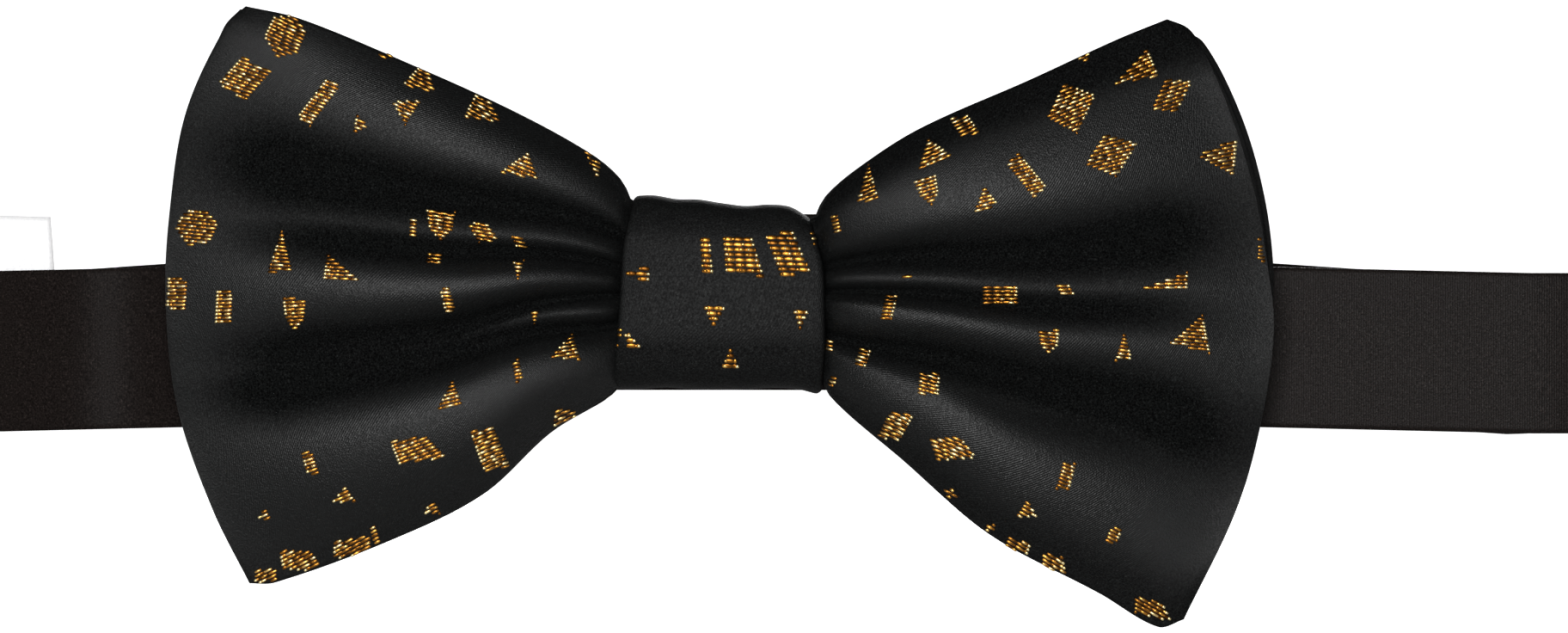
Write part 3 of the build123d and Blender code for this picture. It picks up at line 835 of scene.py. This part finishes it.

# %% [markdown]
# ## Gold confetti
# The pattern is woven, not printed: inside each little shape the flat metal weft floats over
# the black cloth in rows. So every float is a thin raised dash that follows the cloth's own
# surface, and each one has its own tone, from bright foil to the brown core thread. A flat dark bed under
# each row is painted shade between the floats.
# The shapes are listed one by one, and the rows run along the weft, which fans out from the knot.

# %% Small shapes, by kind, in a box one unit across and high
kinds = {
    "quad": [(-0.5, -0.42), (0.42, -0.5), (0.5, 0.4), (-0.4, 0.5)],
    "hex": [(-0.5, 0), (-0.28, 0.46), (0.2, 0.5), (0.5, 0.12), (0.3, -0.4), (-0.2, -0.5)],
    "diamond": [(-0.5, -0.1), (-0.05, 0.5), (0.5, 0.16), (0.02, -0.5)],
    "up": [(-0.5, -0.5), (0.5, -0.4), (0.06, 0.5)],
    "down": [(-0.5, 0.44), (0.5, 0.5), (-0.04, -0.5)],
    "right": [(-0.5, 0.5), (0.5, -0.06), (-0.42, -0.5)],
    "left": [(0.5, 0.5), (-0.5, 0.02), (0.42, -0.5)],
    "corner": [(-0.5, -0.5), (0.5, -0.5), (-0.4, 0.5)],
    "wedge": [(-0.5, 0.5), (0.2, 0.42), (0.5, -0.5), (-0.42, -0.36)],
    "slant": [(-0.5, 0.4), (0.1, 0.5), (0.5, -0.4), (-0.15, -0.5)],
    "lean": [(-0.15, 0.5), (0.5, 0.42), (0.12, -0.5), (-0.5, -0.42)],
    "shield": [(-0.5, 0.5), (0.5, 0.46), (0.42, -0.14), (0, -0.5), (-0.4, -0.1)],
    "bar": [(-0.5, -0.5), (0.5, -0.46), (0.48, 0.5), (-0.5, 0.46)],
}

# %% Where they lie: kind, x, z, width, height, turn in degrees
left_confetti = [
    ("hex", -47.2, 27.9, 4.6, 4.6, 0), ("diamond", -51.6, 23.3, 5.8, 4.8, 0),
    ("bar", -43.5, 20.8, 5.4, 1.8, 52),
    ("up", -39.2, 18.5, 1.9, 1.8, 20), ("quad", -36.3, 26.0, 1.8, 1.0, 0),
    ("left", -32.9, 23.1, 3.3, 3.8, 20),
    ("down", -34.0, 19.6, 3.2, 2.7, 0), ("left", -26.3, 19.9, 3.4, 4.8, 30),
    ("up", -21.5, 14.0, 4.2, 2.9, -15),
    ("down", -13.6, 14.3, 2.3, 3.8, 10), ("hex", -56.8, 7.2, 4.8, 3.9, 0),
    ("quad", -59.0, 0.1, 2.3, 3.7, 0),
    ("quad", -53.8, -1.3, 1.9, 3.9, 0), ("up", -47.7, 4.6, 2.7, 4.8, 0),
    ("corner", -41.0, 3.0, 3.9, 2.8, 0),
    ("shield", -46.1, -2.2, 2.5, 3.7, 0), ("shield", -30.3, 7.4, 3.1, 3.3, 0),
    ("slant", -25.7, 6.7, 3.4, 2.3, 0),
    ("quad", -33.3, 7.2, 0.8, 2.0, 0), ("quad", -31.0, 3.9, 1.7, 1.2, 0),
    ("slant", -21.8, 5.6, 1.7, 1.4, 0),
    ("down", -21.9, 2.6, 1.2, 2.2, 0), ("slant", -29.5, -0.6, 1.7, 2.8, 0),
    ("down", -20.2, -2.6, 0.8, 1.4, 0),
    ("up", -16.6, -5.6, 3.2, 3.0, -10), ("slant", -22.0, -8.2, 1.2, 2.6, 0),
    ("up", -29.2, -10.7, 2.7, 3.2, 0),
    ("wedge", -32.7, -16.7, 5.6, 3.0, 12), ("slant", -25.0, -16.7, 4.2, 4.8, 0),
    ("quad", -17.0, -13.6, 2.4, 2.6, 0),
    ("slant", -44.4, -18.2, 1.9, 2.6, 0), ("up", -40.8, -21.6, 2.6, 1.8, 0),
    ("up", -31.3, -23.0, 2.0, 1.5, -10),
    ("up", -49.5, -23.7, 1.5, 1.4, 0), ("slant", -37.5, -26.0, 1.1, 1.9, 0),
    ("quad", -40.0, -27.3, 4.4, 2.0, 12),
    ("wedge", -45.4, -28.8, 5.0, 2.4, 0), ("quad", -49.4, -30.4, 2.6, 1.5, 10),
]
knot_confetti = [
    ("left", -9.1, 2.2, 2.7, 2.0, 0), ("corner", -10.0, -4.5, 2.9, 2.9, 0),
    ("bar", -1.7, 4.2, 1.1, 4.0, 4),
    ("wedge", 2.3, 4.2, 4.5, 4.7, 0), ("slant", 7.1, 4.4, 4.9, 5.0, 0),
    ("down", -0.8, -2.4, 2.4, 2.3, 0),
    ("up", 0.8, -6.9, 1.9, 2.3, 0), ("down", 8.5, -2.8, 1.6, 2.1, 0),
    ("slant", 10.2, 6.0, 1.6, 2.2, 0),
]
right_confetti = [
    ("up", 15.7, 12.0, 2.4, 4.4, 0), ("up", 22.5, 15.4, 3.9, 2.8, 20),
    ("slant", 26.2, 18.2, 3.4, 2.2, 0),
    ("shield", 22.2, 11.1, 2.5, 3.1, 15), ("up", 28.3, 10.4, 2.7, 2.6, 10),
    ("bar", 32.8, 12.8, 4.8, 1.9, -52),
    ("diamond", 37.7, 20.1, 5.6, 5.6, 10), ("diamond", 42.0, 15.0, 6.0, 4.8, 10),
    ("left", 44.6, 23.9, 5.0, 3.2, 30),
    ("lean", 48.6, 21.5, 4.4, 3.6, 0), ("left", 53.5, 14.9, 4.4, 4.0, 0),
    ("quad", 39.1, 25.7, 1.2, 1.0, 0),
    ("quad", 58.4, 4.8, 0.9, 2.6, 0), ("slant", 20.0, 1.9, 1.8, 0.8, 0),
    ("lean", 18.0, -1.4, 1.9, 3.0, 0),
    ("bar", 30.0, -0.1, 3.8, 1.9, 0), ("slant", 37.0, 0.5, 2.2, 1.6, 0),
    ("left", 47.8, 1.0, 5.4, 1.9, 10),
    ("shield", 35.2, -5.1, 2.3, 2.7, 0), ("up", 43.3, -5.6, 1.8, 3.2, 0),
    ("left", 50.4, -4.8, 4.3, 4.2, 15),
    ("lean", 15.2, -6.8, 1.9, 2.2, 0), ("quad", 22.3, -9.6, 2.4, 2.6, 0),
    ("lean", 18.7, -14.2, 4.0, 3.0, 0),
    ("wedge", 24.9, -16.6, 4.6, 2.8, 10), ("slant", 24.7, -21.5, 1.6, 1.0, 0),
    ("lean", 37.1, -19.6, 2.2, 3.2, 0),
    ("up", 32.8, -23.1, 2.3, 2.0, 0), ("quad", 29.0, -25.2, 1.0, 0.8, 0),
    ("bar", 31.9, -27.3, 2.6, 1.6, -20),
    ("wedge", 36.0, -29.4, 3.2, 2.6, -10), ("lean", 42.3, -26.0, 2.0, 1.8, 0),
    ("wedge", 46.6, -34.0, 4.4, 2.0, -10),
    ("quad", 11.9, -9.4, 0.9, 1.0, 0), ("quad", 11.6, -5.5, 0.9, 1.6, 0),
    ("slant", 12.3, 7.6, 1.2, 2.2, 0),
]

# %% Lay one shape's floats on the cloth


def shape_corners(kind, x, z, width, height, turn):
    cos, sin = math.cos(math.radians(turn)), math.sin(math.radians(turn))
    return [
        (x + px * width * cos - pz * height * sin, z + px * width * sin + pz * height * cos)
        for px, pz in kinds[kind]
    ]


def row_spans(corners, centre, along, offset):
    """Where a row of the weave crosses a shape."""
    across = Vector((-along.y, along.x))
    hits = []
    for one, two in zip(corners, corners[1:] + corners[:1]):
        a, b = Vector(one) - centre, Vector(two) - centre
        low, high = a.dot(across) - offset, b.dot(across) - offset
        if low * high < 0:
            hits.append(a.lerp(b, low / (low - high)).dot(along))
    hits.sort()
    return list(zip(hits[::2], hits[1::2]))


dash_points = 14
bed_length = 1.1


class Floats:
    """Collects the raised dashes of one piece."""

    def __init__(self, cloth, seed, from_behind=False):
        self.tree = BVHTree.FromObject(cloth, bpy.context.evaluated_depsgraph_get())
        self.random = random.Random(seed)
        self.points, self.faces, self.tones = [], [], []
        self.start, self.ray = (0.1, Vector((0, -1, 0))) if from_behind else (-0.1, Vector((0, 1, 0)))

    def on_cloth(self, x, z):
        spot, normal, _, _ = self.tree.ray_cast(Vector((x * MM, self.start, z * MM)), self.ray)
        if spot is None:
            return None, None
        if normal.dot(self.ray) > 0:
            normal = -normal
        return spot / MM, normal

    def dash(self, begin, end, across, width, rise, tone):
        stations = []
        for share, size in ((0.0, 0), (0.14, 0.8), (0.5, 1), (0.86, 0.8), (1.0, 0)):
            x, z = begin.lerp(end, share)
            spot, normal = self.on_cloth(x, z)
            if spot is None or normal.dot(self.ray) > -0.18:
                return
            stations.append((spot, normal, size))
        if max((b[0] - a[0]).length for a, b in zip(stations, stations[1:])) > 1.5:
            return
        first = len(self.points)
        side = Vector((across.x, 0, across.y))
        for spot, normal, size in stations:
            if size == 0:
                self.points.append(spot - normal * 0.02)
                continue
            flat = (side - normal * side.dot(normal)).normalized() * width * size
            self.points += [
                spot - flat - normal * 0.05, spot - flat * 0.6 + normal * rise * size,
                spot + flat * 0.6 + normal * rise * size, spot + flat - normal * 0.05,
            ]
        self.tones += [tone] * dash_points
        rings = [[first + 1 + 4 * ring + corner for corner in range(4)] for ring in range(3)]
        for one, two in zip(rings, rings[1:]):
            for corner in range(4):
                nxt = (corner + 1) % 4
                self.faces.append((one[corner], one[nxt], two[nxt], two[corner]))
        for corner in range(4):
            nxt = (corner + 1) % 4
            self.faces.append((first, rings[0][nxt], rings[0][corner]))
            self.faces.append((first + dash_points - 1, rings[2][corner], rings[2][nxt]))

    def shape(self, corners, along, pitch, length, width, rise, gap=0.35, shade_bed_tone=0.3):
        along = along.normalized()
        across = Vector((-along.y, along.x))
        centre = sum((Vector(c) for c in corners), Vector((0, 0))) / len(corners)
        extent = max((Vector(c) - centre).length for c in corners)
        count = int(extent / pitch) + 1
        for row in range(-count, count + 1):
            offset = row * pitch
            middle = centre + across * offset
            for low, high in row_spans(corners, centre, along, offset):
                # A dark bed under the row: painted shade between the floats
                bed = low
                while bed < high - 0.05:
                    stop = min(bed + bed_length, high)
                    self.dash(
                        middle + along * (bed - 0.1), middle + along * (stop + 0.1),
                        across, pitch * 0.56, rise * 0.35, self.random.uniform(0.0, shade_bed_tone),
                    )
                    bed = stop
                if self.random.random() < 0.7 and high - low > 1:
                    self.dash(
                        middle + along * (high - 0.3), middle + along * (high + 0.12),
                        across, width * 1.1, rise * 1.3, 1.0,
                    )
                place = low + self.random.uniform(-0.12, 0.05)
                while place < high - 0.4:
                    stretch = length * self.random.uniform(0.55, 1.35)
                    stop = min(place + stretch, high + 0.08)
                    begin, end = middle + along * place, middle + along * stop
                    roll = self.random.random()
                    tone = self.random.uniform(0.72, 1.0) if roll > 0.55 else self.random.uniform(0.2, 0.6)
                    self.dash(begin, end, across, width, rise * (1.15 if roll > 0.62 else 0.8), tone)
                    place = stop + self.random.uniform(0.05, gap)

    def finish(self, name):
        piece = new_piece(name, self.points, self.faces, metal_thread, "bow")
        tones = piece.data.attributes.new("tone", "FLOAT", "POINT")
        tones.data.foreach_set("value", self.tones)
        fix = bmesh.new()
        fix.from_mesh(piece.data)
        bmesh.ops.recalc_face_normals(fix, faces=fix.faces)
        fix.to_mesh(piece.data)
        fix.free()
        piece.data.shade_smooth()
        print(name, "has", len(self.tones) // dash_points, "floats")
        return piece


fan_start = 13.5


def weft(x, z):
    """The way the weft runs on a wing: it fans out from beyond the knot."""
    side = 1 if x > 0 else -1
    return Vector((side * (abs(x) + fan_start), z))


# %% Weave the pattern into the front
for name, cloth, confetti, seed in (
    ("left_wing_gold", front_cloth, left_confetti, 3), ("right_wing_gold", front_cloth, right_confetti, 5),
):
    floats = Floats(cloth, seed)
    for shape in confetti:
        floats.shape(shape_corners(*shape), weft(shape[1], shape[2]), 0.4, 0.95, 0.17, 0.13)
    floats.finish(name)
floats = Floats(knot, 7)
for shape in knot_confetti:
    floats.shape(shape_corners(*shape), Vector((1, -0.03)), 0.56, 0.5, 0.2, 0.14, 2.4, 0.45)
floats.finish("knot_gold")

# %% Weave it into the back layer too, scattered by a fixed seed
floats = Floats(rear_cloth, 11, from_behind=True)
scatter = random.Random(23)
for side in (-1, 1):
    for column in range(8):
        for row in range(-4, 5):
            x = 14 + column * 6.2 + scatter.uniform(-2, 2)
            z = row * (1.6 + 0.62 * column) + scatter.uniform(-2, 2)
            size = scatter.uniform(1.4, 4.4)
            kind = scatter.choice(sorted(kinds))
            tall, turned = size * scatter.uniform(0.6, 1.1), scatter.uniform(-40, 40)
            corners = shape_corners(kind, side * x, z, size, tall, turned)
            if scatter.random() < 0.6:
                floats.shape(corners, weft(side * x, z), 0.45, 1.0, 0.17, 0.13)
floats.finish("rear_gold")

# %% [markdown]
# ## Studio
# The bow is lit like a shop picture: a floor that curves up behind it and looks white from
# every side, one large soft light in front, a weaker one behind for the fastener, and hardly
# any light from around, so that the pleats stay black. The camera stands level with the bow,
# straight in front of it and far back, with a long lens.

# %% Floor and backdrop
deselect()
floor_level = cad_box[0][2] - 0.0015
bpy.ops.mesh.primitive_plane_add(size=2.4, location=(0, 0.3, floor_level))
floor = bpy.context.object
floor.name = "studio_floor"
bpy.ops.object.mode_set(mode="EDIT")
bpy.ops.mesh.select_all(action="DESELECT")
bpy.ops.object.mode_set(mode="OBJECT")
for edge in floor.data.edges:
    edge.select = all(floor.data.vertices[v].co.y > 1 for v in edge.vertices)
bpy.ops.object.mode_set(mode="EDIT")
bpy.ops.mesh.extrude_region_move(TRANSFORM_OT_translate={"value": (0, 0, 1.4)})
bpy.ops.object.mode_set(mode="OBJECT")
sweep = floor.modifiers.new("sweep", "BEVEL")
sweep.width = 0.4
sweep.segments = 16
bpy.ops.object.modifier_apply(modifier="sweep")
bpy.ops.object.shade_smooth()
pale, nodes, links, shader = new_material("pale_floor")
shader.inputs["Base Color"].default_value = (0.93, 0.93, 0.93, 1)
shader.inputs["Roughness"].default_value = 0.9
shader.inputs["Specular IOR Level"].default_value = 0.1
shader.inputs["Emission Color"].default_value = (1, 1, 1, 1)
# Floor and surround look white to the camera and give the bow almost no light


def seen_white(nodes, links, socket, given):
    path = nodes.new("ShaderNodeLightPath")
    glow = nodes.new("ShaderNodeMapRange")
    glow.inputs["To Min"].default_value = given
    glow.inputs["To Max"].default_value = 1.0
    links.new(path.outputs["Is Camera Ray"], glow.inputs["Value"])
    links.new(glow.outputs["Result"], socket)


seen_white(nodes, links, shader.inputs["Emission Strength"], 0.04)
floor.data.materials.append(pale)

# %% Lights and surround
world = bpy.data.worlds.new("surround")
bpy.context.scene.world = world
world.use_nodes = True
world.node_tree.nodes["Background"].inputs["Color"].default_value = (1, 1, 1, 1)
sky = world.node_tree.nodes["Background"].inputs["Strength"]
seen_white(world.node_tree.nodes, world.node_tree.links, sky, 0.05)


def soft_light(name, place, size, power, target=(0, 0, 0)):
    data = bpy.data.lights.new(name, "AREA")
    data.shape = "RECTANGLE"
    data.size, data.size_y = size
    data.energy = power
    light = bpy.data.objects.new(name, data)
    light.location = place
    light.rotation_euler = (Vector(target) - Vector(place)).to_track_quat("-Z", "Y").to_euler()
    bpy.context.scene.collection.objects.link(light)


soft_light("key", (-0.13, -1.2, 0.19), (0.6, 0.42), 18.5)
soft_light("back", (0.15, 1.0, 0.32), (0.5, 0.35), 7.0)

# %% Camera
camera_data = bpy.data.cameras.new("camera")
camera_data.sensor_width = 36
camera_data.lens = 255
camera_data.clip_start = 0.01
camera = bpy.data.objects.new("camera", camera_data)
camera.location = (0.0067, -1.212, -0.0024)
camera.rotation_euler = (math.pi / 2, 0, 0)
bpy.context.scene.collection.objects.link(camera)
bpy.context.scene.camera = camera
bpy.context.scene.view_settings.view_transform = "Standard"
bpy.context.scene.view_settings.look = "None"
